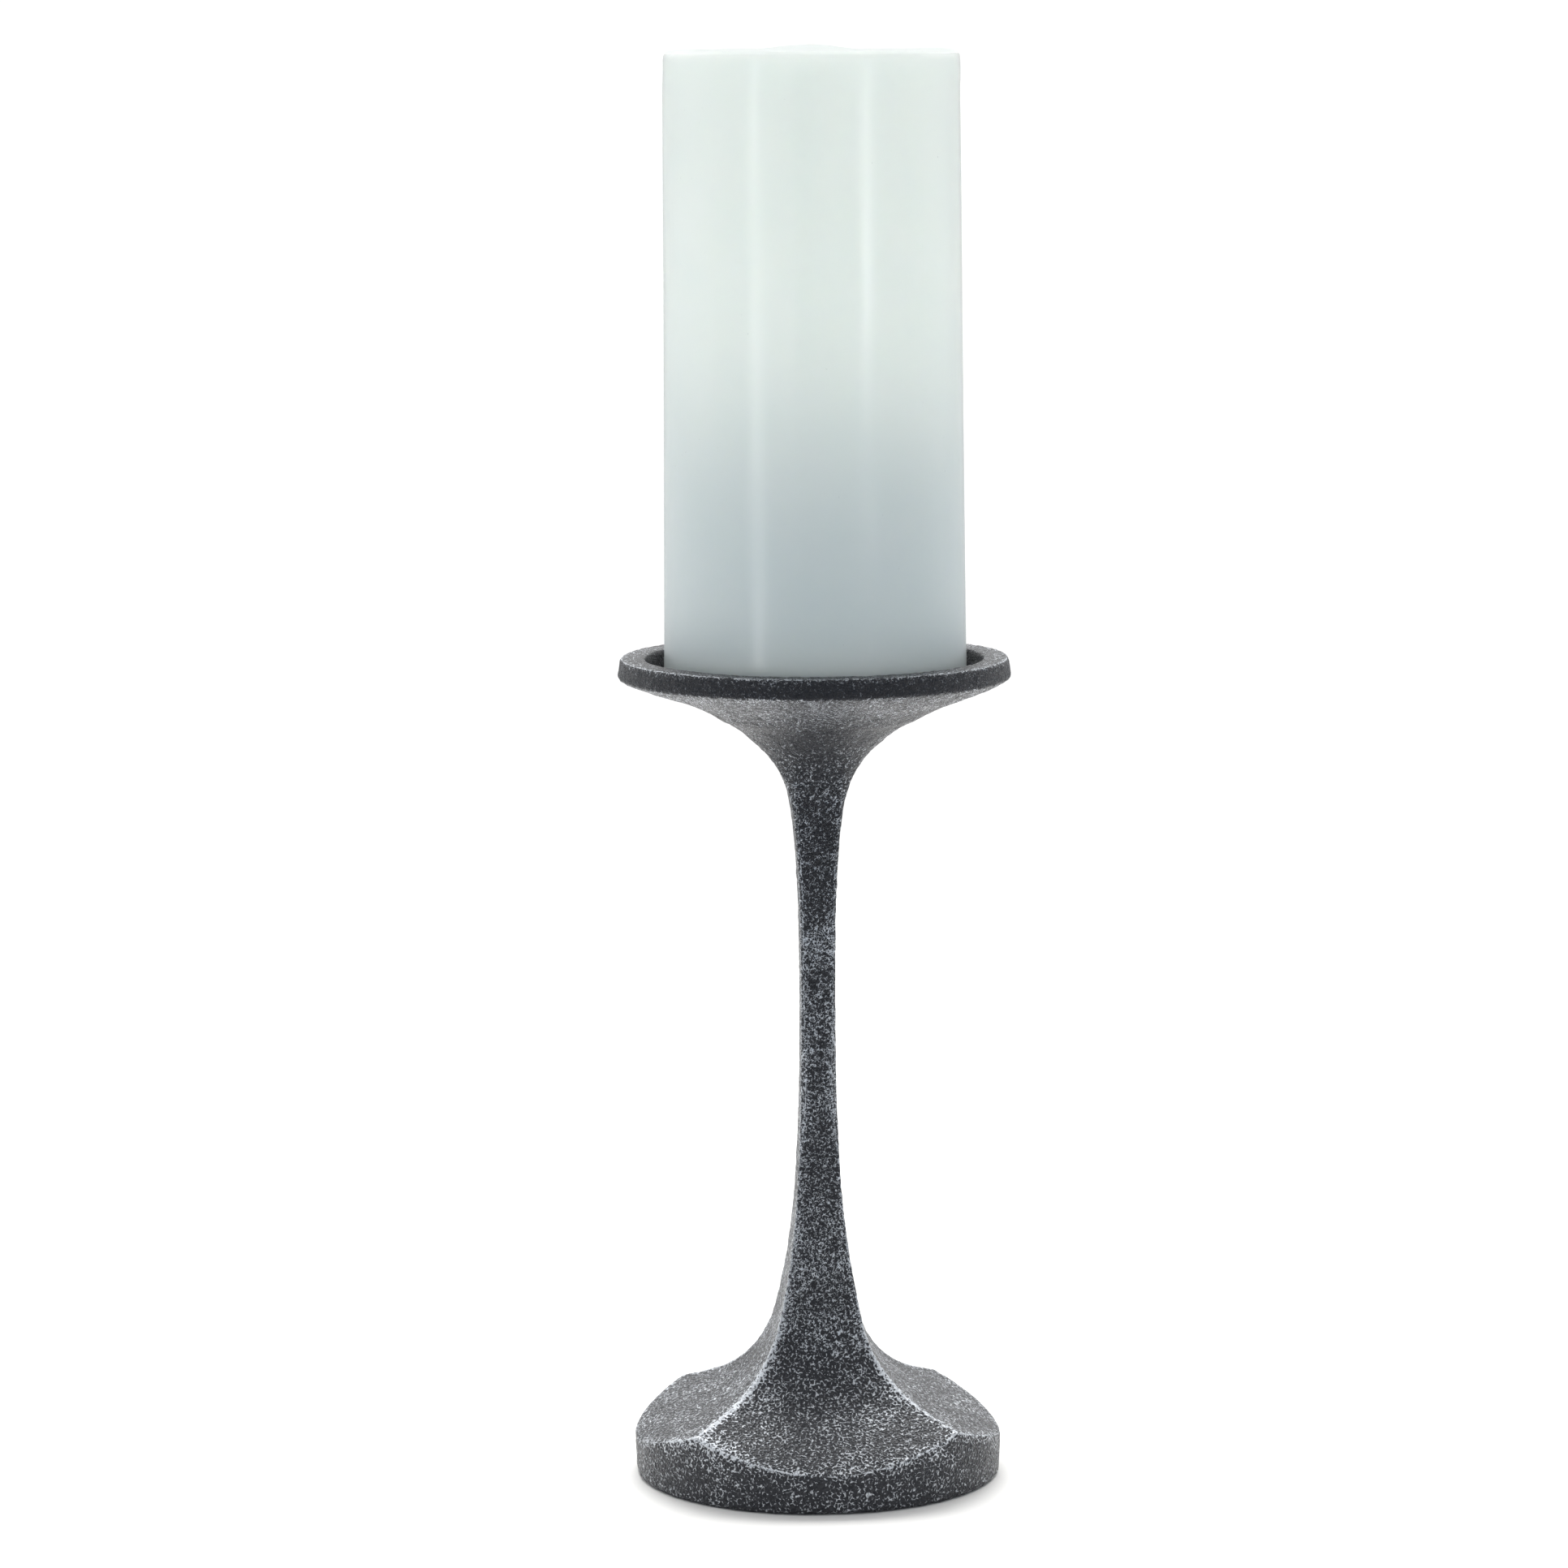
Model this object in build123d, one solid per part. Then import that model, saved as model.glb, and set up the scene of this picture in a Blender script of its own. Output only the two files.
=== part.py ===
from build123d import *
import os

# Pillar candle holder with its candle, in millimetres. +Z is up, and the origin is the
# centre of the face that the holder stands on. The front flat of the base faces -Y.

# ---- heights that the pieces share -----------------------------------------------------
rim_height = 203.2          # top of the dish's rim: the holder's own height, 8 inches
floor_height = 197.7        # floor of the dish, where the candle stands
joint_height = 188.0        # plane where the dish casting sits on the pedestal casting
foot_height = 0.25          # lower edge of the pedestal casting, above the felt's face

# ---- pedestal --------------------------------------------------------------------------
base_radius = 45.0
base_foot_radius = 44.7     # the side of the base tapers in a little towards the ground
base_foot_round = 1.0
base_side_height = 9.0      # where the taper ends and the side stands straight
cut_reach = 60.0            # half length of the two crossing forms that cut the flats
cut_height = 195.0          # top of those forms, clear above the joint

# One flat, seen from its side: (distance from the axis, height). It sweeps up from the
# edge of the base, is almost upright at the waist and sweeps out again under the dish.
flat_points = [
    (46.0, 8.9), (31.8, 16.5), (20.5, 22.4), (12.6, 32.0), (9.3, 42.5),
    (6.4, 59.5), (4.55, 84.0), (3.95, 119.0), (4.3, 145.0), (5.25, 161.0),
    (7.8, 173.2), (13.1, 181.1), (25.5, 187.3), (36.0, 190.5),
]
# The round form that takes the corners off the square stem and becomes the whole of the
# flared head: (radius, height), from the base's corners up to the joint.
round_points = [
    (45.0, 18.0), (24.0, 34.0), (12.0, 58.0), (6.15, 84.0), (5.3, 119.0),
    (5.75, 145.0), (7.1, 161.0), (9.8, 173.2), (13.9, 181.1), (23.0, 188.0),
]

spigot_radius = 8.0         # centres the dish on the pedestal
spigot_height = 2.0
spigot_clearance = 0.1
tapped_radius = 3.0         # M6 hole in the head
tapped_depth = 14.5

# ---- dish ------------------------------------------------------------------------------
dish_radius = 48.0          # widest, at the foot of the rim's band
rim_radius = 47.4           # outer edge at the top of the rim
rim_bore_radius = 41.2      # inner edge at the top of the rim
floor_bore_radius = 40.8    # inner wall where it meets the floor
band_foot_round = 0.8
rim_edge_round = 0.5
floor_round = 1.2
# Underside of the dish, from the joint out to the foot of the band: (radius, height).
flare_points = [(23.0, joint_height), (30.8, 191.9), (42.1, 195.9), (47.2, 198.0)]
counterbore_radius = 7.0
counterbore_floor = 193.4
bolt_hole_radius = 3.3

# ---- spike and its washers -------------------------------------------------------------
washer_radius = 6.2
washer_bore_radius = 3.2
washer_top = counterbore_floor + 1.0
spring_radius = 5.9
spring_bore_radius = 3.1
spring_top = washer_top + 1.3
spring_gap = 0.9
spring_gap_tilt = 25.0
collar_flats = 10.0
collar_top = spring_top + 1.8
shank_radius = 2.95
shank_foot = joint_height - tapped_depth + 1.0
shank_chamfer = 0.6
spike_radius = 2.5
spike_tip_radius = 0.35
spike_top = floor_height + 22.0

# ---- felt ------------------------------------------------------------------------------
felt_radius = 40.0
felt_thickness = 1.6
felt_clearance = 0.3

# ---- candle ----------------------------------------------------------------------------
candle_foot = floor_height + 0.05       # a running gap keeps it off the dish's floor
candle_top = floor_height + 152.3
candle_foot_radius = 36.95
candle_top_radius = 35.8
candle_foot_round = 1.0
candle_top_round = 2.0
mound_radius = 16.0                     # low swelling of the wax round the wick
mound_top = candle_top + 1.3
spike_hole_clearance = 0.3
spike_hole_top = spike_top + spike_hole_clearance
wick_radius = 1.25
wick_foot = spike_hole_top + 2.0


def turned(*edges):
    """Solid of revolution about Z of a closed outline drawn as (radius, height)."""
    return revolve(Plane.XZ * make_face(edges), Axis.Z)


def rod(radius, low, high):
    """Upright cylinder on the axis between two heights."""
    sitting = (Align.CENTER, Align.CENTER, Align.MIN)
    return Pos(0, 0, low) * Cylinder(radius, high - low, align=sitting)


def ring(outer, inner, low, high):
    return rod(outer, low, high) - rod(inner, low, high)


def flats_face():
    """The pedestal seen square to a flat: two mirrored sweeps, closed below and above."""
    sweep = Spline(*flat_points)
    reach, side = flat_points[0]
    head_reach, head_side = flat_points[-1]
    outline = [sweep, mirror(sweep, Plane.YZ)]
    for x, y, low, high in (
        (reach, foot_height, reach, side),
        (-reach, foot_height, -reach, side),
        (-reach, foot_height, reach, foot_height),
        (head_reach, head_side, head_reach, cut_height),
        (-head_reach, head_side, -head_reach, cut_height),
        (-head_reach, cut_height, head_reach, cut_height),
    ):
        outline.append(Line((x, y), (low, high)))
    return make_face(outline)


def round_form():
    """Everything the pedestal shows between its flats, as one turned solid."""
    foot_edge = (base_foot_radius - base_foot_round, foot_height)
    foot_corner = (base_foot_radius, foot_height + base_foot_round)
    side_top = (base_radius, base_side_height)
    return turned(
        Line((0, foot_height), foot_edge),
        RadiusArc(foot_edge, foot_corner, -base_foot_round),
        Line(foot_corner, side_top),
        Line(side_top, round_points[0]),
        Spline(*round_points),
        Line(round_points[-1], (0, joint_height)),
        Line((0, joint_height), (0, foot_height)),
    )


def make_pedestal():
    """Base, square stem and flared head in one casting."""
    face = flats_face()
    front_and_back = extrude(Plane.YZ * face, cut_reach, both=True)
    left_and_right = extrude(Plane.XZ * face, cut_reach, both=True)
    body = front_and_back & left_and_right & round_form()
    body += rod(spigot_radius, joint_height, joint_height + spigot_height)
    body -= rod(tapped_radius, joint_height - tapped_depth, rim_height)
    body -= rod(felt_radius + felt_clearance, 0, felt_thickness)
    return body


def make_dish():
    """Rim, floor and flared underside, bored for the spigot and the spike's shank."""
    seat, band_foot = flare_points[0], flare_points[-1]
    band_low = (dish_radius, band_foot[1] + band_foot_round)
    band_high = (rim_radius, rim_height - rim_edge_round)
    rim_outer = (rim_radius - rim_edge_round, rim_height)
    rim_inner = (rim_bore_radius + rim_edge_round, rim_height)
    bore_high = (rim_bore_radius, rim_height - rim_edge_round)
    bore_low = (floor_bore_radius, floor_height + floor_round)
    floor_edge = (floor_bore_radius - floor_round, floor_height)
    body = turned(
        Line((0, joint_height), seat),
        Spline(*flare_points),
        RadiusArc(band_foot, band_low, -band_foot_round),
        Line(band_low, band_high),
        RadiusArc(band_high, rim_outer, -rim_edge_round),
        Line(rim_outer, rim_inner),
        RadiusArc(rim_inner, bore_high, -rim_edge_round),
        Line(bore_high, bore_low),
        RadiusArc(bore_low, floor_edge, floor_round),
        Line(floor_edge, (0, floor_height)),
        Line((0, floor_height), (0, joint_height)),
    )
    socket_top = joint_height + spigot_height + spigot_clearance
    body -= rod(spigot_radius + spigot_clearance, joint_height, socket_top)
    body -= rod(bolt_hole_radius, joint_height, rim_height)
    body -= rod(counterbore_radius, counterbore_floor, rim_height)
    return body


def make_plain_washer():
    return ring(washer_radius, washer_bore_radius, counterbore_floor, washer_top)


def make_spring_washer():
    """Split washer, pressed flat by the collar above it."""
    whole = ring(spring_radius, spring_bore_radius, washer_top, spring_top)
    cutter = Rot(0, spring_gap_tilt, 0) * Box(spring_gap, spring_radius, spring_radius)
    middle = (spring_radius + spring_bore_radius) / 2
    return whole - Pos(0, middle, (washer_top + spring_top) / 2) * cutter


def make_spike():
    """Pointed pin, hexagon collar and threaded shank, turned from one bar."""
    hexagon = RegularPolygon(collar_flats / 2, 6, major_radius=False)
    collar = Pos(0, 0, spring_top) * extrude(hexagon, collar_top - spring_top)
    shank = rod(shank_radius, shank_foot, spring_top)
    shank = chamfer(shank.edges().group_by(Axis.Z)[0], shank_chamfer)
    shoulder = (spike_radius, collar_top)
    tip_side = (spike_tip_radius, spike_top - spike_tip_radius)
    pin = turned(
        Line((0, collar_top), shoulder),
        Line(shoulder, tip_side),
        RadiusArc(tip_side, (0, spike_top), -spike_tip_radius),
        Line((0, spike_top), (0, collar_top)),
    )
    return collar + shank + pin


def make_base_felt():
    return rod(felt_radius, 0, felt_thickness)


def spike_hole():
    """Cone that clears the spike, from under the candle to just over the spike's tip."""
    mouth = (spike_radius + spike_hole_clearance, collar_top)
    end = (spike_tip_radius + spike_hole_clearance, spike_hole_top)
    return turned(
        Line((0, collar_top), mouth),
        Line(mouth, end),
        Line(end, (0, spike_hole_top)),
        Line((0, spike_hole_top), (0, collar_top)),
    )


def make_candle_wax():
    """Pillar with a slight taper, rounded edges and a low mound in the middle of its top."""
    foot_inner = (candle_foot_radius - candle_foot_round, candle_foot)
    foot_outer = (candle_foot_radius, candle_foot + candle_foot_round)
    top_outer = (candle_top_radius, candle_top - candle_top_round)
    top_inner = (candle_top_radius - candle_top_round, candle_top)
    mound_edge = (mound_radius, candle_top)
    body = turned(
        Line((0, candle_foot), foot_inner),
        RadiusArc(foot_inner, foot_outer, -candle_foot_round),
        Line(foot_outer, top_outer),
        RadiusArc(top_outer, top_inner, -candle_top_round),
        Line(top_inner, mound_edge),
        Spline(mound_edge, (0, mound_top), tangents=((-1, 0), (-1, 0))),
        Line((0, mound_top), (0, candle_foot)),
    )
    return body - spike_hole() - rod(wick_radius, wick_foot, mound_top)


def make_wick():
    return rod(wick_radius, wick_foot, mound_top)


parts = {
    "pedestal": make_pedestal,
    "dish": make_dish,
    "plain_washer": make_plain_washer,
    "spring_washer": make_spring_washer,
    "spike": make_spike,
    "base_felt": make_base_felt,
    "candle_wax": make_candle_wax,
    "wick": make_wick,
}

os.makedirs("parts", exist_ok=True)
for name, make in parts.items():
    export_step(make(), f"parts/{name}.step")
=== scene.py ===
import math

import bmesh
import bpy
import numpy as np
from mathutils import Matrix, Vector, noise


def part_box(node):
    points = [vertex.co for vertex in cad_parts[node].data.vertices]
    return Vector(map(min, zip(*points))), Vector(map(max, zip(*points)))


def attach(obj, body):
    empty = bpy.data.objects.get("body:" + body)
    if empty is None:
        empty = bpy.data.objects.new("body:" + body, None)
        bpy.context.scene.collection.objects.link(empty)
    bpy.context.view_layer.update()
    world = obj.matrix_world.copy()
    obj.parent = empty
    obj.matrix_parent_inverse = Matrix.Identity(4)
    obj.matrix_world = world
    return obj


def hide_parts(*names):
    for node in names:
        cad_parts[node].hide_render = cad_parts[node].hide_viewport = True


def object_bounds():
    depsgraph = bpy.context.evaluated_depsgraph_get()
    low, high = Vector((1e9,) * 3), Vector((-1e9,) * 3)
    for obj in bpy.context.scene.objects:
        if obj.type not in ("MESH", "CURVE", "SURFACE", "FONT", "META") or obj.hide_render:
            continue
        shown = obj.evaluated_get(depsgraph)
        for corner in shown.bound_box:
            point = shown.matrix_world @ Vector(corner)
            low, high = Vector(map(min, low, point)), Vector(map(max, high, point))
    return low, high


# Pillar candle holder with its candle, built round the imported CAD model. Lengths are in
# metres, as in the frame; MM turns a figure given in millimetres into metres.
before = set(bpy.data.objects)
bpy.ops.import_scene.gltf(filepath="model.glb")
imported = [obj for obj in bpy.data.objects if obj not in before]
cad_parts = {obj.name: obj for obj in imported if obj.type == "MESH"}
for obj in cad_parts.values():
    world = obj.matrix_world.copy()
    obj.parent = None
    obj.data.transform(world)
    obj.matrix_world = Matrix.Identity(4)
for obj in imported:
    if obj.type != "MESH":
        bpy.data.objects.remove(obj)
cad_low, cad_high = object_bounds()
MM = 0.001

HEIGHT = cad_high.z
DISH_LOW, DISH_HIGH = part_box("dish")
WAX_LOW, WAX_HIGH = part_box("candle_wax")
WICK_LOW, WICK_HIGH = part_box("wick")
FELT_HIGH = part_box("base_felt")[1]
JOINT = DISH_LOW.z              # plane where the dish sits on the pedestal

# Directions of the sections: square to a flat, and along a ridge where two flats meet. Both
# are turned by a hair, so that the cutting plane misses the mesh's own vertices.
HAIR = 1e-3
FLAT, RIDGE = -math.pi / 2 + HAIR, -math.pi / 4 + HAIR

# Spacing of the rings of mesh points on faces in view and on hidden faces, and how many
# points the widest rings have.
FINE, COARSE = 0.5 * MM, 2.5 * MM
PEDESTAL_AROUND, DISH_AROUND, SOFT_AROUND = 480, 576, 256

EDGE_REACH = 3.0                # mm from an outside edge at which its wear has faded out
LOOKS_DOWN = -0.3               # a face looks down when its normal rises by less than this

# How the casting, dressed by hand, departs from the drawn outline at some heights: how far
# its section sits over towards +X, and how much further out its skin is. All in mm.
DRESSED_AT = (0.0, 20.0, 30.0, 36.0, 44.0, 175.0, 180.0, 183.0, 187.5, 190.0, 193.0, 195.5, 198.0)
DRESSED_ASIDE = (0.0, 0.0, 0.05, 0.2, 0.4, 0.4, 0.45, 0.7, 1.05, 1.3, 1.4, 1.1, 0.0)
DRESSED_OUT = (0.4, 0.45, 0.45, 0.25, 0.3, 0.3, 0.4, 0.75, 1.0, 0.9, 0.4, 0.2, 0.0)

# How much silver is rubbed on the pedestal, and how worn its edges are, at some heights
# given as shares of the joint's height.
RUBBED_AT = (0.0, 0.045, 0.056, 0.08, 0.14, 0.22, 0.3, 0.45, 0.55, 0.65, 0.72, 0.85, 0.93, 1.0)
RUBBED = (0.57, 0.56, 0.69, 0.69, 0.73, 0.82, 0.74, 0.71, 0.78, 0.77, 0.78, 0.56, 0.55, 0.50)
WORN_AT = (0.0, 0.042, 0.05, 0.08, 0.16, 0.22, 0.3, 0.8, 0.9, 0.95)
WORN = (0.0, 0.0, 0.35, 0.8, 1.0, 0.65, 0.42, 0.38, 0.3, 0.0)


# ---- camera ----------------------------------------------------------------------------
def make_camera():
    """Long lens, a little above the candle's top, looking down at the holder's front."""
    distance, eye = 3.823 * HEIGHT, 1.017 * HEIGHT
    azimuth, down, aside, roll = (math.radians(a) for a in (-4.0, 7.859, 0.321, 0.29))
    back = Vector((math.sin(azimuth), -math.cos(azimuth), 0))
    data = bpy.data.cameras.new("camera")
    data.lens, data.sensor_width, data.clip_end = 127.18, 36.0, 20.0
    camera = bpy.data.objects.new("camera", data)
    level = Matrix.Rotation(aside, 3, "Z") @ -back
    forward = level * math.cos(down) - Vector((0, 0, math.sin(down)))
    right = forward.cross(Vector((0, 0, 1))).normalized()
    up = right.cross(forward)
    basis = Matrix((right, up, -forward)).transposed() @ Matrix.Rotation(-roll, 3, "Z")
    place = Matrix.Translation(distance * back + Vector((0, 0, eye)))
    camera.matrix_world = place @ basis.to_4x4()
    bpy.context.scene.collection.objects.link(camera)
    bpy.context.scene.camera = camera


# ---- outlines read from the CAD model --------------------------------------------------
def welded(node):
    """The CAD node's vertices, each once, and its triangles as rows of their numbers."""
    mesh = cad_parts[node].data
    mesh.calc_loop_triangles()
    points = np.array([v.co for v in mesh.vertices])
    corners = np.array([t.vertices for t in mesh.loop_triangles])
    _, first, weld = np.unique(points.round(7), axis=0, return_index=True, return_inverse=True)
    return points[first], weld.ravel()[corners]


def chained(where, links):
    """The points of where in the order in which they are linked, from the lowest loose end.

    A closed outline has no loose end: it starts at its lowest point and goes outwards."""
    loose = [k for k in links if len(links[k]) == 1]
    here = min(loose or links, key=lambda k: tuple(where[k][::-1]))
    path, seen = [here], {here}
    while True:
        onward = [k for k in links[path[-1]] if k not in seen]
        if not onward:
            return np.array([where[k] for k in path])
        path.append(max(onward, key=lambda k: where[k][0]) if len(path) == 1 else onward[0])
        seen.add(path[-1])


def half_section(node, angle):
    """The CAD node's outline as ordered (radius, height) on the half plane at angle."""
    points, corners = welded(node)
    out = np.array((math.cos(angle), math.sin(angle), 0))
    side = points @ np.array((-out[1], out[0], 0))
    flat = np.column_stack((points @ out, points[:, 2]))
    where, links = {}, {}
    for tri in corners:
        ends = []
        for a, b in ((tri[0], tri[1]), (tri[1], tri[2]), (tri[2], tri[0])):
            if (side[a] > 0) != (side[b] > 0):
                share = side[a] / (side[a] - side[b])
                ends.append(((min(a, b), max(a, b)), flat[a] + share * (flat[b] - flat[a])))
        if len(ends) < 2 or (ends[0][1][0] < 0 and ends[1][1][0] < 0):
            continue
        (_, p), (_, q) = ends
        if p[0] * q[0] < 0:         # a face that spans the axis is cut off there
            height = p[1] + (q[1] - p[1]) * p[0] / (p[0] - q[0])
            inner = 0 if p[0] < 0 else 1
            ends[inner] = (("axis", round(float(height), 5)), np.array((0.0, height)))
        (i, p), (j, q) = ends
        where[i], where[j] = p, q
        links.setdefault(i, set()).add(j)
        links.setdefault(j, set()).add(i)
    return chained(where, links)


def split_runs(path, corner=math.radians(28)):
    """The path cut into smooth runs at its sharp corners."""
    step = np.diff(path, axis=0)
    keep = np.hypot(*step.T) > 1e-7
    path = np.vstack((path[:1], path[1:][keep]))
    step = np.diff(path, axis=0)
    heading = np.unwrap(np.arctan2(step[:, 1], step[:, 0]))
    breaks = [0, *(np.nonzero(np.abs(np.diff(heading)) > corner)[0] + 1), len(path) - 1]
    return [path[a:b + 1] for a, b in zip(breaks, breaks[1:])]


def closed_runs(node):
    """The smooth runs of a turned node's outline, all the way round it."""
    path = half_section(node, FLAT)
    return split_runs(np.vstack((path, path[:1])))


def even_points(run, spacing, soften=0):
    """The run with evenly spaced points, its ends kept, smoothed soften times."""
    length = np.concatenate(([0], np.cumsum(np.hypot(*np.diff(run, axis=0).T))))
    count = max(1, math.ceil(length[-1] / spacing))
    at = np.linspace(0, length[-1], count + 1)
    made = np.column_stack([np.interp(at, length, run[:, k]) for k in (0, 1)])
    for _ in range(soften):
        made[1:-1] = (made[:-2] + 2 * made[1:-1] + made[2:]) / 4
    return made


# ---- meshes made of rings --------------------------------------------------------------
def smooth_mesh(name, points, faces):
    mesh = bpy.data.meshes.new(name)
    mesh.from_pydata(points, [], faces)
    mesh.polygons.foreach_set("use_smooth", np.ones(len(mesh.polygons), bool))
    mesh.update()
    return mesh


def ring_mesh(name, rings, closed=False):
    """A skin over rings of points, each with as many points as the last, half or double."""
    faces, start, starts = [], 0, []
    for ring in rings:
        starts.append(start)
        start += len(ring)
    pairs = list(zip(range(len(rings)), range(1, len(rings))))
    if closed:
        pairs.append((len(rings) - 1, 0))
    for a, b in pairs:
        m, n, p, q = len(rings[a]), len(rings[b]), starts[a], starts[b]
        if m == 1 or n == 1:
            pole, rim, count = (p, q, n) if m == 1 else (q, p, m)
            for k in range(count):
                fan = (pole, rim + (k + 1) % count, rim + k)
                faces.append(fan if m == 1 else fan[::-1])
        elif m == n:
            faces += [(p + k, p + (k + 1) % m, q + (k + 1) % n, q + k) for k in range(m)]
        else:
            fine, coarse, count = (p, q, n) if m > n else (q, p, m)
            for k in range(count):
                a0, a1, a2 = fine + 2 * k, fine + 2 * k + 1, fine + (2 * k + 2) % (2 * count)
                c0, c1 = coarse + k, coarse + (k + 1) % count
                trio = [(a0, a1, c0), (a1, c1, c0), (a1, a2, c1)]
                faces += trio if m > n else [t[::-1] for t in trio]
    return smooth_mesh(name, np.vstack(rings).tolist(), faces)


def circle(radius, height, count):
    """One ring; its first point lies along a ridge, so that ridges follow mesh lines."""
    if radius < 1e-6:
        return np.array([(0.0, 0.0, height)])
    angle = math.pi / 4 + np.arange(count) * 2 * math.pi / count
    across = radius * np.cos(angle), radius * np.sin(angle)
    return np.column_stack((*across, np.full(count, height)))


def points_round(radius, finest):
    """How many points a ring has: finest out wide, then half as many each time it halves."""
    count = finest
    for limit in (22 * MM, 11 * MM, 5 * MM if finest > 512 else 0):
        if radius <= limit:
            count //= 2
    return count


def circles(rows, finest):
    """A ring for each (radius, height)."""
    return [circle(r, z, points_round(r, finest)) for r, z in rows]


def piece(name, mesh, body, stands_for):
    """Puts a finished mesh in the scene as the piece that stands for a CAD node."""
    mesh.set_sharp_from_angle(angle=math.radians(50))
    made = bpy.data.objects.new(name, mesh)
    bpy.context.scene.collection.objects.link(made)
    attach(made, body)
    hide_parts(stands_for)
    return made


def read(items, field, width, kind=np.float32):
    """One field of a mesh's items, as an array with a row for each of them."""
    flat = np.empty(len(items) * width, kind)
    items.foreach_get(field, flat)
    return flat.reshape(-1, width)


def coordinates(mesh):
    return read(mesh.vertices, "co", 3).astype(float)


def set_coordinates(mesh, co):
    mesh.vertices.foreach_set("co", co.astype(np.float32).ravel())
    mesh.update()


def normals(mesh):
    return read(mesh.vertex_normals, "vector", 3).astype(float)


def store(mesh, name, values):
    layer = mesh.attributes.new(name, "FLOAT", "POINT")
    layer.data.foreach_set("value", values.astype(np.float32))


def lump(at, depth, offset=(0, 0, 0)):
    """Smooth noise between -depth and depth, with swellings about one unit of at across."""
    return depth * noise.noise(at + Vector(offset))


# ---- both castings ---------------------------------------------------------------------
def dressed(values, heights):
    """One of the DRESSED columns, in metres, at each of these heights in metres."""
    return np.interp(heights / MM, DRESSED_AT, values) * MM


def to_edge(mesh, side_of, shown):
    """Distance in mm to the outside edge where side_of is 0, below 0 on one side of it."""
    co, pairs = coordinates(mesh), read(mesh.edges, "vertices", 2, np.int32)
    pairs = pairs[(shown[pairs] > 0).all(axis=1)]
    length = np.linalg.norm(co[pairs[:, 1]] - co[pairs[:, 0]], axis=1)
    rate = abs(side_of[pairs[:, 1]] - side_of[pairs[:, 0]]) / np.maximum(length, 1e-6)
    steepest = np.full(len(co), 1e-3)
    np.maximum.at(steepest, pairs[:, 0], rate)
    np.maximum.at(steepest, pairs[:, 1], rate)
    distance = np.clip(side_of / steepest / MM, -EDGE_REACH, EDGE_REACH)
    return np.where(shown > 0, distance, EDGE_REACH)


def casting_skin(mesh, shown, rubbed, edge, worn):
    """Gives a casting its uneven sand-cast skin, and keeps how worn each point is.

    shown is 1 where the skin is in view and 0 on machined and mating faces; rubbed is how
    much silver was wiped over the paint there; edge is the distance in mm to an outside
    edge, and worn how far the paint has gone from it."""
    co, out = coordinates(mesh), normals(mesh)
    far = np.hypot(co[:, 0], co[:, 1]) / MM
    moved = np.maximum(shown, np.clip((far - 9) / 8, 0, 1))     # the bores stay in place
    co[:, 0] += dressed(DRESSED_ASIDE, co[:, 2]) * moved
    height = np.empty(len(co))
    for i, p in enumerate(co):
        v = Vector(p) / MM
        lumps = lump(v / 19, 0.10) + lump(v / 7, 0.05, (5, 1, 9))
        peel = lump(v / 1.9, 0.13, (2, 7, 4)) + lump(v / 0.9, 0.05, (8, 3, 1))
        height[i] = lumps + peel * (1.7 if out[i, 2] < LOOKS_DOWN else 1.0)
    near_joint = np.clip(abs(co[:, 2] - JOINT) / MM, 0, 1)
    set_coordinates(mesh, co + out * (height * shown * near_joint * MM)[:, None])
    store(mesh, "edge", edge)
    store(mesh, "worn", worn * shown)
    store(mesh, "rubbed", rubbed * shown)


# ---- pedestal --------------------------------------------------------------------------
def soft_least(a, b, width):
    """The smaller of a and b, rounded off over width where they are nearly equal."""
    share = np.clip(0.5 + 0.5 * (b - a) / width, 0, 1)
    return b + (a - b) * share - width * share * (1 - share)


def rising_side(path):
    """Where the part of a pedestal outline that is in view starts and ends."""
    start = np.argmax(path[:, 0] > 0.9 * path[:, 0].max())
    end = start + np.argmax(path[start:, 1] > JOINT - 1e-6)
    return start, end


def extend_flat(side, first, last):
    """The flats' distance from the axis, carried on past where they run out into the round."""
    across, height = side[:, 0].copy(), side[:, 1]
    below, above = slice(0, first), slice(last + 1, None)
    for edge, rows, inside in ((first, below, first + 6), (last, above, last - 6)):
        slope = (across[inside] - across[edge]) / (height[inside] - height[edge])
        across[rows] = across[edge] + slope * (height[rows] - height[edge])
    return across


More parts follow.
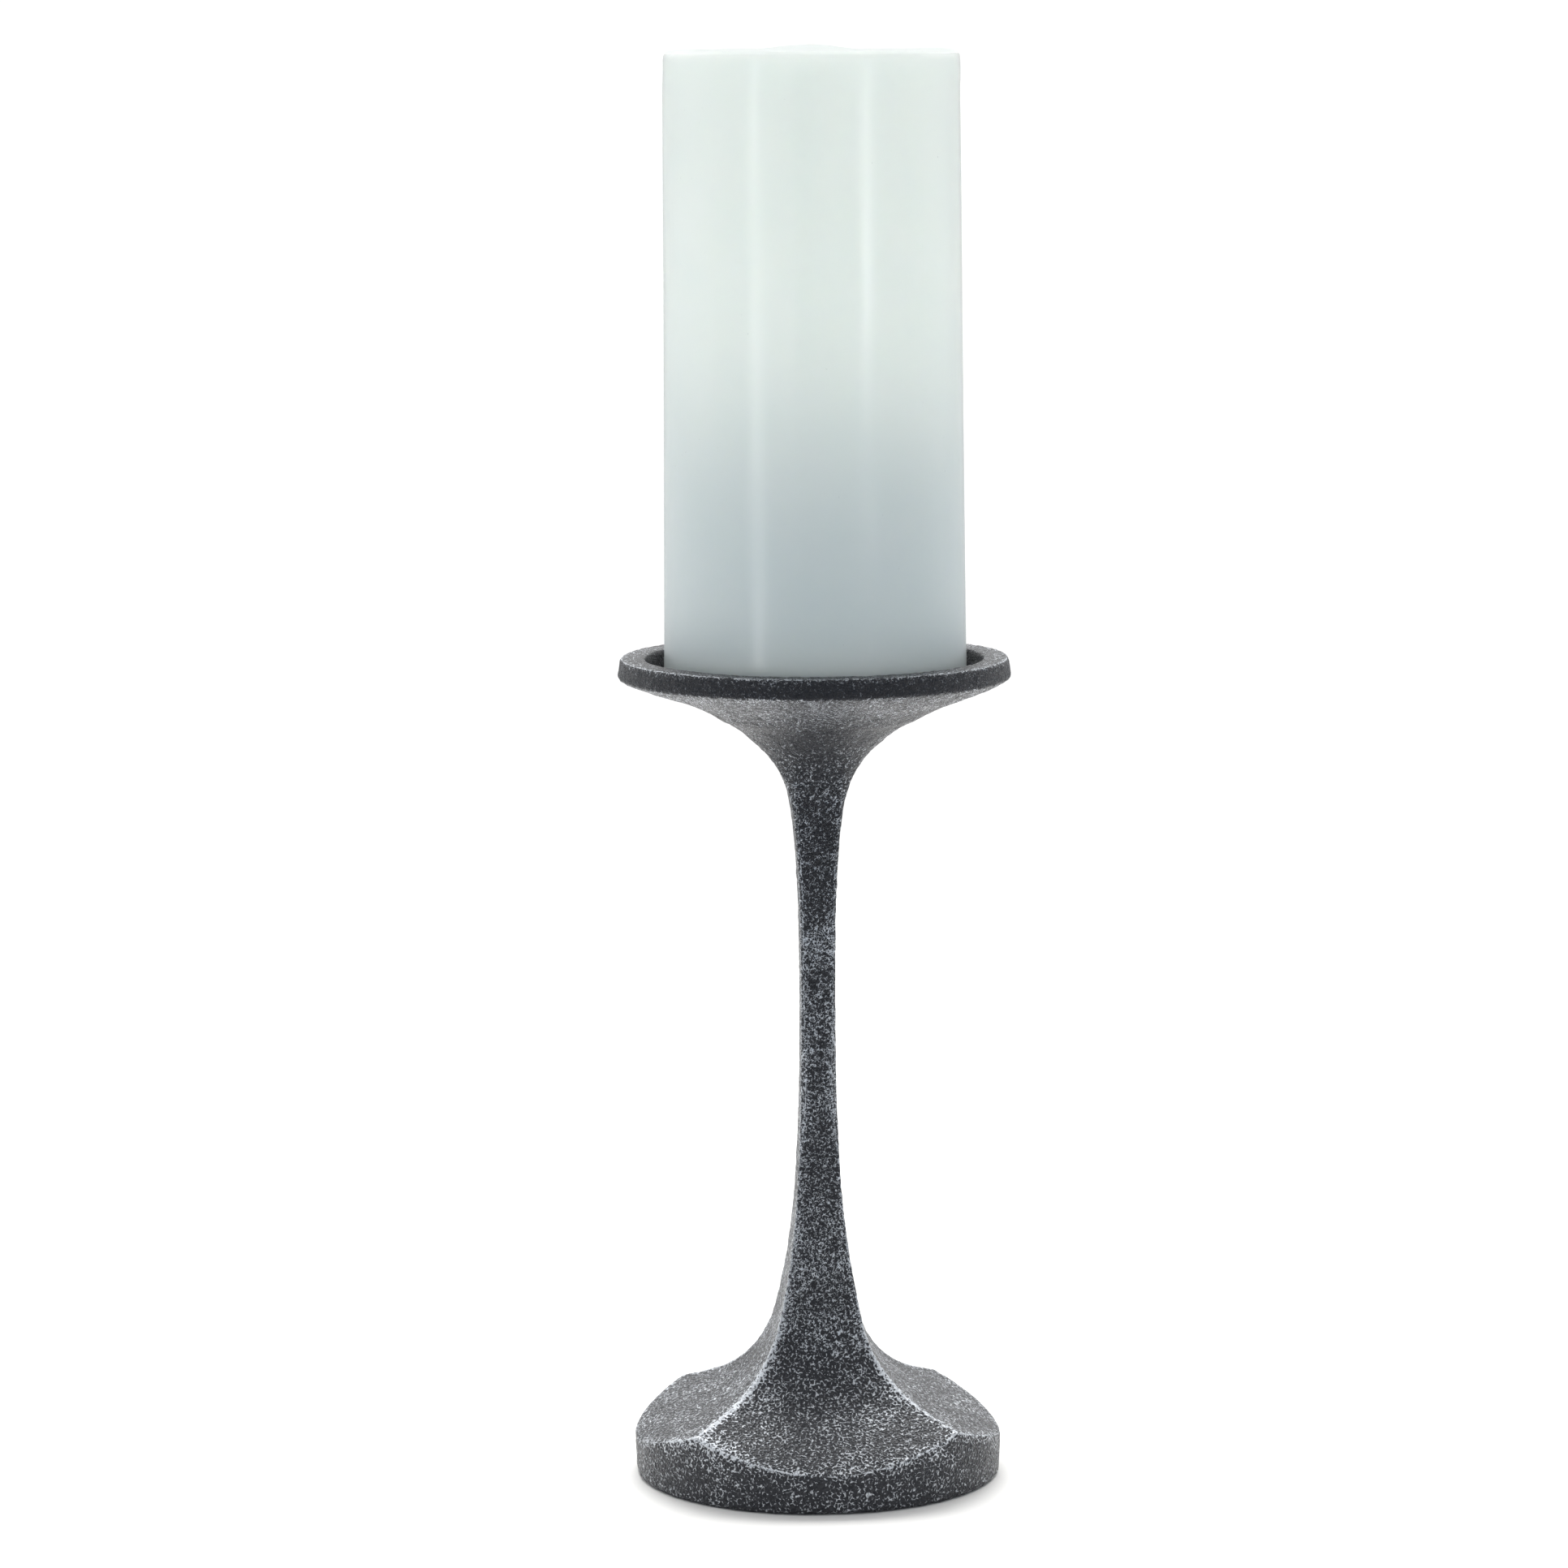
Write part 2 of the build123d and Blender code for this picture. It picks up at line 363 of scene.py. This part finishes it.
def make_pedestal():
    """Each ring is the smaller of a square, for the flats, and a circle, for the corners."""
    flat, ridge = half_section("pedestal", FLAT), half_section("pedestal", RIDGE)
    start, end = rising_side(flat)
    low, high = rising_side(ridge)
    side = [even_points(run, FINE, 2) for run in split_runs(flat[start:end + 1])]
    side = np.vstack([side[0]] + [run[1:] for run in side[1:]])
    under = [even_points(run, COARSE)[:-1] for run in split_runs(flat[:start + 1])]
    over = [even_points(run, COARSE)[1:] for run in split_runs(flat[end:])]

    heights = side[:, 1]
    reach = np.interp(heights, ridge[low:high + 1, 1], ridge[low:high + 1, 0])
    first, last = np.nonzero(side[:, 0] < reach - 0.02 * MM)[0][[0, -1]]
    out = dressed(DRESSED_OUT, heights)
    flats, corners = extend_flat(side, first, last) + out, reach + out
    rounding = np.interp(heights / HEIGHT, (0.05, 0.3), (0.9 * MM, 0.35 * MM))
    below_cut = np.maximum(heights[first] - heights, 0)

    skin, side_of = [], []
    for (r, z), across, corner, width, depth in zip(side, flats, corners, rounding, below_cut):
        ring = circle(1.0, z, points_round(r, PEDESTAL_AROUND))
        facing = np.maximum(abs(ring[:, 0]), abs(ring[:, 1]))
        radius = soft_least(across / facing, corner, width)
        skin.append(ring * np.column_stack((radius, radius, np.ones(len(ring)))))
        side_of.append(across / facing - corner + 2 * depth)
    bottom, top = (circles(np.vstack(rows), PEDESTAL_AROUND) for rows in (under, over))
    mesh = ring_mesh("pedestal_casting", bottom + skin + top)
    counts = [sum(map(len, rings)) for rings in (bottom, skin, top)]
    shown = np.repeat((0.0, 1.0, 0.0), counts)
    side_of = np.concatenate((np.ones(counts[0]), *side_of, np.ones(counts[2])))

    co = coordinates(mesh)
    rubbed = np.interp(co[:, 2] / JOINT, RUBBED_AT, RUBBED)
    worn = np.interp(co[:, 2] / JOINT, WORN_AT, WORN)
    worn *= np.interp(co[:, 0] / MM, (-34, -28, 0, 30), (0.8, 1.3, 0.8, 0.75))
    casting_skin(mesh, shown, rubbed, to_edge(mesh, side_of, shown), worn)
    return piece("pedestal_casting", mesh, "holder", "pedestal")


# ---- dish ------------------------------------------------------------------------------
def make_dish():
    """Rings all round the dish's section, fine where the casting's own skin is in view."""
    rows, shown = [], []
    for run in closed_runs("dish"):
        in_view = run[:, 0].max() > 20 * MM and run[:, 1].max() >= JOINT + 0.1 * MM
        level = np.ptp(run[:, 1]) < 0.01 * MM and run[:, 0].mean() < 30 * MM
        spacing = 0.9 * MM if level else FINE if in_view else COARSE
        points = even_points(run, spacing, 1 if in_view else 0)[:-1]
        rows.append(points)
        shown += [in_view] * len(points)
    rows = np.vstack(rows)
    rows[:, 0] += dressed(DRESSED_OUT, rows[:, 1]) * shown
    rings = circles(rows, DISH_AROUND)
    mesh = ring_mesh("dish_casting", rings, closed=True)
    shown = np.repeat(np.array(shown, float), [len(ring) for ring in rings])

    co, up = coordinates(mesh), normals(mesh)[:, 2]
    far = np.hypot(co[:, 0], co[:, 1])
    # The silver share depends on which way a face looks. It is rubbed silver, and on the
    # underside it is partly a painted reflection: down-facing faces get more, rising towards the
    # rim, so the underside looks as light as the white table's reflection makes it.
    under = np.interp(far / MM, (23, 36), (0.50, 0.74))
    rubbed = np.where(up > 0.5, 0.5, np.where(up < LOOKS_DOWN, under, 0.32))
    rim_edge = (far - far.max() + 0.8 * MM) - (co[:, 2] - DISH_HIGH.z)
    near_rim = (co[:, 2] > DISH_HIGH.z - 4 * MM) & (far > far.max() - 4 * MM)
    edge = np.where(near_rim, np.clip(rim_edge / MM, -EDGE_REACH, EDGE_REACH), EDGE_REACH)
    casting_skin(mesh, shown, rubbed, edge, np.full(len(co), 0.45))
    return piece("dish_casting", mesh, "holder", "dish")


# ---- candle ----------------------------------------------------------------------------
def make_candle():
    """The wax pillar: slightly uneven sides, a soft top edge and a low mound in the middle."""
    rows = []
    for run in closed_runs("candle_wax"):
        in_hole = run[:, 0].max() < 5 * MM
        rows.append(even_points(run, (2.0 if in_hole else 1.0) * MM)[:-1])
    mesh = ring_mesh("wax_pillar", circles(np.vstack(rows), SOFT_AROUND), closed=True)
    co, out = coordinates(mesh), normals(mesh)
    far = np.hypot(co[:, 0], co[:, 1])
    hole = 3 * MM                   # nothing moves that is nearer to the axis than this
    shift = np.zeros(len(co))
    for i in np.nonzero(far >= hole)[0]:
        v = Vector(co[i]) / MM
        shift[i] = lump(Vector((v.x / 21, v.y / 21, v.z / 170)), 0.30)
        shift[i] += lump(Vector((v.x / 9, v.y / 9, v.z / 60)), 0.07)
        if v.z > WAX_HIGH.z / MM - 9:
            shift[i] += lump(v / 11, 0.25, (3, 3, 3))
    clear = np.clip((far - hole) / (4 * MM), 0, 1)
    foot = np.clip((co[:, 2] - WAX_LOW.z) / (3 * MM), 0, 1)
    co += out * (shift * clear * foot * MM)[:, None]
    leaning = np.interp(co[:, 2], (WAX_LOW.z, WAX_HIGH.z), (0.35 * MM, -0.1 * MM))
    co[:, 0] += leaning * clear
    set_coordinates(mesh, co)
    return piece("wax_pillar", mesh, "candle", "candle_wax")


def make_wick():
    """Three cotton yarns plaited flat, trimmed level with the mound."""
    bore = (WICK_HIGH.x - WICK_LOW.x) / 2
    yarn, swing, cross, pitch, sides = 0.38 * bore, 0.56 * bore, 0.26 * bore, 3.2 * MM, 10
    length = WICK_HIGH.z - WICK_LOW.z
    steps = round(length / (0.35 * MM))
    verts, faces = [], []
    for strand in range(3):
        start = len(verts)
        centre = []
        for k in range(steps + 1):
            z = WICK_LOW.z + length * k / steps
            turn = 2 * math.pi * (z / pitch + strand / 3)
            centre.append(Vector((swing * math.sin(turn), cross * math.sin(2 * turn), z)))
        for k, here in enumerate(centre):
            ahead = (centre[min(k + 1, steps)] - centre[max(k - 1, 0)]).normalized()
            side = ahead.cross(Vector((0, 1, 0))).normalized()
            other = side.cross(ahead)
            for s in range(sides):
                angle = 2 * math.pi * s / sides
                fuzz = 1 + lump(here / MM * 3, 0.10, (s, strand, 0))
                point = here + yarn * fuzz * (math.cos(angle) * side + math.sin(angle) * other)
                point.z = min(max(point.z, WICK_LOW.z), WICK_HIGH.z)
                verts.append(point)
        for k in range(steps):
            for s in range(sides):
                a, b = start + k * sides + s, start + k * sides + (s + 1) % sides
                faces.append((a, b, b + sides, a + sides))
        faces.append([start + s for s in range(sides)][::-1])
        faces.append([start + steps * sides + s for s in range(sides)])
    mesh = smooth_mesh("cotton_wick", verts, faces)
    fix = bmesh.new()
    fix.from_mesh(mesh)
    bmesh.ops.recalc_face_normals(fix, faces=fix.faces)
    fix.to_mesh(mesh)
    fix.free()
    return piece("cotton_wick", mesh, "candle", "wick")


# ---- felt ------------------------------------------------------------------------------
def make_felt():
    """A die-cut disc of pressed felt: soft edge, faintly uneven face."""
    radius, thick, soft = FELT_HIGH.x, FELT_HIGH.z, 0.3 * MM
    path = [
        (0, 0), (radius - soft, 0), (radius, soft),
        (radius, thick - soft), (radius - soft, thick), (0, thick),
    ]
    rows = [even_points(np.array(pair), 1.0 * MM)[:-1] for pair in zip(path, path[1:])]
    rows = np.vstack(rows + [np.array([path[-1]])])
    mesh = ring_mesh("base_felt_disc", circles(rows, SOFT_AROUND))
    co = coordinates(mesh)
    for p in co:
        v = Vector(p) / MM
        lift = (0.12 + lump(v / 1.7, 0.12) + 0.08 + lump(v / 9, 0.08)) / 2
        if p[2] < thick / 2:
            p[2] = max(p[2], lift * MM)
        if math.hypot(p[0], p[1]) > radius - MM:
            p[:2] *= min(1 + lump(v / 1.1, 0.0022), 1.0)
    set_coordinates(mesh, co)
    return piece("base_felt_disc", mesh, "holder", "base_felt")


# ---- materials -------------------------------------------------------------------------
class Graph:
    """Builds a node tree: sockets given as inputs are linked, anything else is set."""

    def __init__(self, owner):
        owner.use_nodes = True
        self.tree = owner.node_tree
        self.tree.nodes.clear()

    def add(self, kind, inputs=(), out=0, **settings):
        node = self.tree.nodes.new("ShaderNode" + kind)
        for key, value in settings.items():
            setattr(node, key, value)
        for key, value in dict(inputs).items():
            if isinstance(value, bpy.types.NodeSocket):
                self.tree.links.new(value, node.inputs[key])
            else:
                node.inputs[key].default_value = value
        return node.outputs[out] if node.outputs else None

    def math(self, operation, a, b=0.0, c=0.0, clamp=False):
        return self.add("Math", {0: a, 1: b, 2: c}, operation=operation, use_clamp=clamp)

    def times(self, a, b):
        return self.math("MULTIPLY", a, b)

    def plus(self, a, b):
        return self.math("ADD", a, b)

    def less(self, a, b):
        return self.math("SUBTRACT", a, b)

    def vectors(self, operation, a, b, out=0):
        return self.add("VectorMath", {0: a, 1: b}, out, operation=operation)

    def upward(self, vector):
        return self.add("SeparateXYZ", {0: vector}, out=2)

    def step(self, value, low, high, a=0.0, b=1.0):
        """a below low, b above high and a smooth change between them."""
        return self.add(
            "MapRange", {"Value": value, 1: low, 2: high, 3: a, 4: b},
            interpolation_type="SMOOTHSTEP",
        )

    def millimetres(self, stretch=(1, 1, 1)):
        """The place on the object in mm, each axis multiplied by its stretch."""
        where = self.add("TexCoord", out="Object")
        return self.vectors("MULTIPLY", where, tuple(s / MM for s in stretch))

    def stored(self, name):
        """What store() kept on the mesh under this name."""
        return self.add("Attribute", out="Fac", attribute_name=name)

    def noise(self, at, size, detail=2.0, rough=0.5, out=0):
        """Cloudy noise from 0 to 1, whose lumps are about size millimetres."""
        inputs = {"Vector": at, "Scale": 1 / size, "Detail": detail, "Roughness": rough}
        return self.add("TexNoise", inputs, out)

    def cells(self, at, size):
        """Pits about size millimetres across: 0 on the rim between two, more within."""
        return self.add(
            "TexVoronoi", {"Vector": at, "Scale": 1 / size}, feature="DISTANCE_TO_EDGE"
        )

    def ridges(self, at, size, width):
        """Thin winding lines: 1 along them, 0 beyond width of them."""
        off = self.math("ABSOLUTE", self.less(self.noise(at, size, 1.0), 0.5))
        return self.step(off, 0.0, width, 1.0, 0.0)

    def mix(self, share, a, b):
        """Colour a where share is 0, colour b where it is 1."""
        return self.add("Mix", {0: share, 6: a, 7: b}, out=2, data_type="RGBA")

    def blend(self, share, a, b):
        """Number a where share is 0, number b where it is 1."""
        return self.add("Mix", {0: share, 2: a, 3: b}, data_type="FLOAT")

    def bump(self, height, distance):
        """The normal of a relief in which a height of 1 stands for distance millimetres."""
        inputs = {"Height": height, "Distance": distance * MM, "Strength": 1.0}
        return self.add("Bump", inputs)

    def finish(self, **inputs):
        named = {key.replace("_", " "): value for key, value in inputs.items()}
        shader = self.add("BsdfPrincipled", named)
        self.add("OutputMaterial", {"Surface": shader})


def grey(value, tint=(1, 1, 1)):
    return (*(value * t for t in tint), 1.0)


def new_material(name):
    material = bpy.data.materials.new(name)
    return material, Graph(material)


def casting_material():
    """Dark antique paint over a pitted sand-cast skin, silver rubbed onto the high spots."""
    material, g = new_material("antiqued_casting")
    plain = g.millimetres()
    bend = g.vectors("MULTIPLY", g.noise(plain, 1.3, 1.0, out=1), (0.9, 0.9, 0.9))
    at = g.vectors("ADD", plain, bend)
    edge, worn, rubbed = (g.stored(name) for name in ("edge", "worn", "rubbed"))

    # The skin: pits, coarse on the base and finer above it, with grain of two sizes.
    above_base = g.step(g.upward(plain), 18.0, 50.0)
    pit = g.blend(above_base, g.cells(at, 1.05), g.cells(at, 0.55))
    fine = g.noise(at, 0.3, 2.0, 0.6)
    height = g.plus(g.times(g.step(pit, 0.0, 0.4), -0.5), g.times(fine, 0.3))
    height = g.plus(height, g.times(g.noise(at, 0.9, 1.0), 0.9))

    # The silver that was wiped on catches where the skin is high, and more near worn edges.
    lip = g.step(pit, 0.0, 0.32, 1.0, 0.0)
    grain = g.step(g.noise(at, 0.7, 2.0, 0.6), 0.32, 0.68)
    high = g.plus(g.times(lip, 0.5), g.times(grain, 0.4))
    high = g.plus(high, g.times(fine, 0.2))
    patch = g.step(g.noise(at, 11.0, 3.0), 0.36, 0.64, 0.74, 1.0)
    limit = g.math("MULTIPLY_ADD", g.times(rubbed, patch), -0.52, 1.0)
    off = g.math("ABSOLUTE", edge)
    close = g.times(g.step(off, 0.0, EDGE_REACH, 0.24, 0.0), worn)
    rub = g.step(g.less(g.plus(high, close), limit), 0.0, 0.34)

    # On the worn edges themselves the paint is gone, as far as a ragged border.
    ragged = g.math("MULTIPLY_ADD", g.noise(at, 1.0, 2.0, 0.6), 3.4, -1.22)
    bare = g.step(g.less(g.times(worn, ragged), off), 0.0, 0.3)

    silver = g.math("MAXIMUM", rub, bare, clamp=True)
    paint, metal = grey(0.011, (0.85, 1.0, 1.5)), grey(0.66, (0.955, 1.0, 1.06))
    g.finish(
        Base_Color=g.mix(silver, paint, metal), IOR=1.5,
        Metallic=g.times(silver, g.blend(bare, 0.85, 0.4)),
        Roughness=g.blend(silver, 0.42, 0.38), Normal=g.bump(height, 0.46),
    )
    return material


def wax_material():
    """Satin paraffin: light goes in and scatters; faint specks and rubbed marks."""
    material, g = new_material("pillar_wax")
    at = g.millimetres()
    specks = g.step(g.noise(at, 0.8, 1.0), 0.76, 0.82)
    specks = g.times(specks, g.step(g.noise(at, 9.0, 2.0), 0.5, 0.7))
    base = g.mix(g.noise(at, 16.0, 3.0), (0.80, 0.875, 0.85, 1), (0.84, 0.90, 0.875, 1))
    rubbed = g.noise(g.millimetres((1, 1, 0.3)), 6.0, 3.0)
    satin = g.step(rubbed, 0.3, 0.75, 0.20, 0.26)
    top = WAX_HIGH.z / MM
    on_top = g.step(g.upward(at), top - 2.4, top - 1.4)
    g.finish(
        Base_Color=g.mix(g.times(specks, 0.5), base, (0.40, 0.44, 0.43, 1)), IOR=1.43,
        Roughness=g.blend(on_top, satin, 0.6), Normal=g.bump(g.noise(at, 9.0, 2.0), 0.05),
        Subsurface_Weight=1.0, Subsurface_Radius=(1.0, 1.0, 0.95), Subsurface_Scale=5.0 * MM,
    )
    return material


def cotton_material():
    material, g = new_material("wick_cotton")
    strands = g.noise(g.millimetres((1, 1, 0.25)), 0.18, 3.0)
    colour = g.mix(strands, (0.62, 0.60, 0.54, 1), (0.86, 0.84, 0.78, 1))
    g.finish(Base_Color=colour, Roughness=0.85, Sheen_Weight=0.3, Normal=g.bump(strands, 0.06))
    return material


def felt_material():
    material, g = new_material("pressed_felt")
    at = g.millimetres()
    fibres = g.ridges(g.vectors("ADD", at, g.noise(at, 1.5)), 0.5, 0.08)
    shade = g.plus(g.times(fibres, 0.5), g.times(g.noise(at, 3.0, 4.0), 0.5))
    colour = g.mix(shade, (0.012, 0.013, 0.014, 1), (0.06, 0.062, 0.066, 1))
    g.finish(
        Base_Color=colour, Roughness=0.95, Sheen_Weight=0.35, Sheen_Roughness=0.6,
        Normal=g.bump(shade, 0.25),
    )
    return material


def zinc_material():
    """Turned steel with a satin zinc plate, clouded in patches."""
    material, g = new_material("zinc_plate")
    turned = g.noise(g.millimetres((1, 1, 14)), 3.0, 3.0)
    cloud = g.noise(g.millimetres(), 2.2, 4.0)
    colour = g.mix(cloud, grey(0.34, (0.97, 0.99, 1.03)), grey(0.50, (1.0, 1.0, 0.98)))
    g.finish(
        Base_Color=colour, Metallic=1.0, Roughness=g.step(cloud, 0.3, 0.7, 0.26, 0.42),
        Normal=g.bump(turned, 0.03),
    )
    return material


def coat(material, *pieces):
    """Gives these pieces this material and no other."""
    for made in pieces:
        made.data.materials.clear()
        made.data.materials.append(material)


# ---- surroundings ----------------------------------------------------------------------
def make_floor():
    """White table: it ends just in front of the picture's lower edge."""
    front, far, wide = -0.15, 0.9, 0.9
    corners = ((-wide, front, 0), (wide, front, 0), (wide, far, 0), (-wide, far, 0))
    mesh = bpy.data.meshes.new("table")
    mesh.from_pydata(corners, [], [(0, 1, 2, 3)])
    floor = bpy.data.objects.new("table", mesh)
    bpy.context.scene.collection.objects.link(floor)
    material, g = new_material("white_table")
    cloud = g.noise(g.millimetres(), 60.0, 2.0)
    warm = (1.0, 0.99, 0.97)
    g.finish(Base_Color=g.mix(cloud, grey(0.90, warm), grey(0.92, warm)), Roughness=0.9)
    coat(material, floor)


def make_world():
    """White studio behind the object; dim walls under a grey ceiling on the camera's side."""
    world = bpy.data.worlds.new("studio")
    bpy.context.scene.world = world
    g = Graph(world)
    toward = g.add("TexCoord", out="Generated")
    up = g.upward(toward)
    over_horizon = g.step(up, -0.05, 0.05)
    dim = g.mix(over_horizon, (0.285, 0.335, 0.405, 1), (0.315, 0.345, 0.388, 1))
    dim = g.mix(g.step(up, 0.45, 0.85), dim, grey(0.66))
    low, high = grey(0.6, (1.0, 1.0, 0.98)), grey(1.35, (1.0, 1.0, 0.99))
    bright = g.mix(g.step(up, 0.0, 0.4), low, high)
    bright = g.mix(over_horizon, grey(0.6), bright)
    behind = g.vectors("DOT_PRODUCT", toward, (0, 1, 0.9), out="Value")
    walls = g.mix(g.step(behind, 0.45, 1.0), dim, bright)
    seen = g.add("LightPath", out="Is Camera Ray")
    colour = g.mix(seen, walls, grey(1.05))
    g.add("OutputWorld", {"Surface": g.add("Background", {"Color": colour, "Strength": 1.0})})


def softbox(name, place, aim, size, power, colour=(1, 1, 1), beam=180, gloss=True):
    """A rectangular light of power watts that shines into a beam of that many degrees."""
    data = bpy.data.lights.new(name, "AREA")
    data.shape, data.size, data.size_y = "RECTANGLE", *size
    data.energy, data.color, data.spread = power, colour, math.radians(beam)
    light = bpy.data.objects.new(name, data)
    light.location = place
    light.rotation_euler = (Vector(aim) - Vector(place)).to_track_quat("-Z", "Y").to_euler()
    light.visible_camera = False
    light.visible_glossy = gloss
    bpy.context.scene.collection.objects.link(light)
    return light


def around(angle, distance, height):
    """A place at distance from the axis, angle degrees from the front towards +X."""
    a = math.radians(angle)
    return Vector((distance * math.sin(a), -distance * math.cos(a), height))


def flag_off(light, objects):
    """Keeps a light off these objects, as a flag on a stand would."""
    flag = bpy.data.collections.new("flagged")
    for shaded in objects:
        flag.objects.link(shaded)
    for shaded in flag.collection_objects:
        shaded.light_linking.link_state = "EXCLUDE"
    light.light_linking.receiver_collection = flag


def make_lights(flagged):
    """Two banks behind the object, beams onto the candle's upper part, and a strip on either
    side of the camera. The strong bank would burn out what is flagged."""
    behind = ((0, 1.65, 2.5), (0, 0, 0.15), (2.4, 1.8))
    softbox("back_glow", *behind, 9)
    flag_off(softbox("back_bank", *behind, 89), flagged)
    warm = (1.0, 0.93, 0.80)
    for name, angle, height, power in (
        ("beam_left", -69, 0.387, 0.047), ("beam", -4, 0.387, 0.052),
        ("beam_right", 61, 0.387, 0.057), ("beam_low", -4, 0.315, 0.017),
    ):
        place = around(angle, 0.7, height)
        softbox(name, place, (0, 0, place.z), (0.30, 0.25), power, warm, 7, gloss=False)
    softbox("left_strip", around(-47, 0.9, 0.22), (0, 0, 0.28), (0.07, 0.42), 0.62)
    softbox("right_strip", around(38, 0.9, 0.31), (0, 0, 0.30), (0.05, 0.20), 0.42)


make_camera()
coat(casting_material(), make_pedestal(), make_dish())
wax, wick = make_candle(), make_wick()
coat(wax_material(), wax)
coat(cotton_material(), wick)
coat(felt_material(), make_felt())
hardware = [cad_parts[node] for node in ("spike", "plain_washer", "spring_washer")]
coat(zinc_material(), *hardware)
make_floor()
make_world()
make_lights([wax, wick, *hardware])
bpy.context.scene.view_settings.view_transform = "Standard"
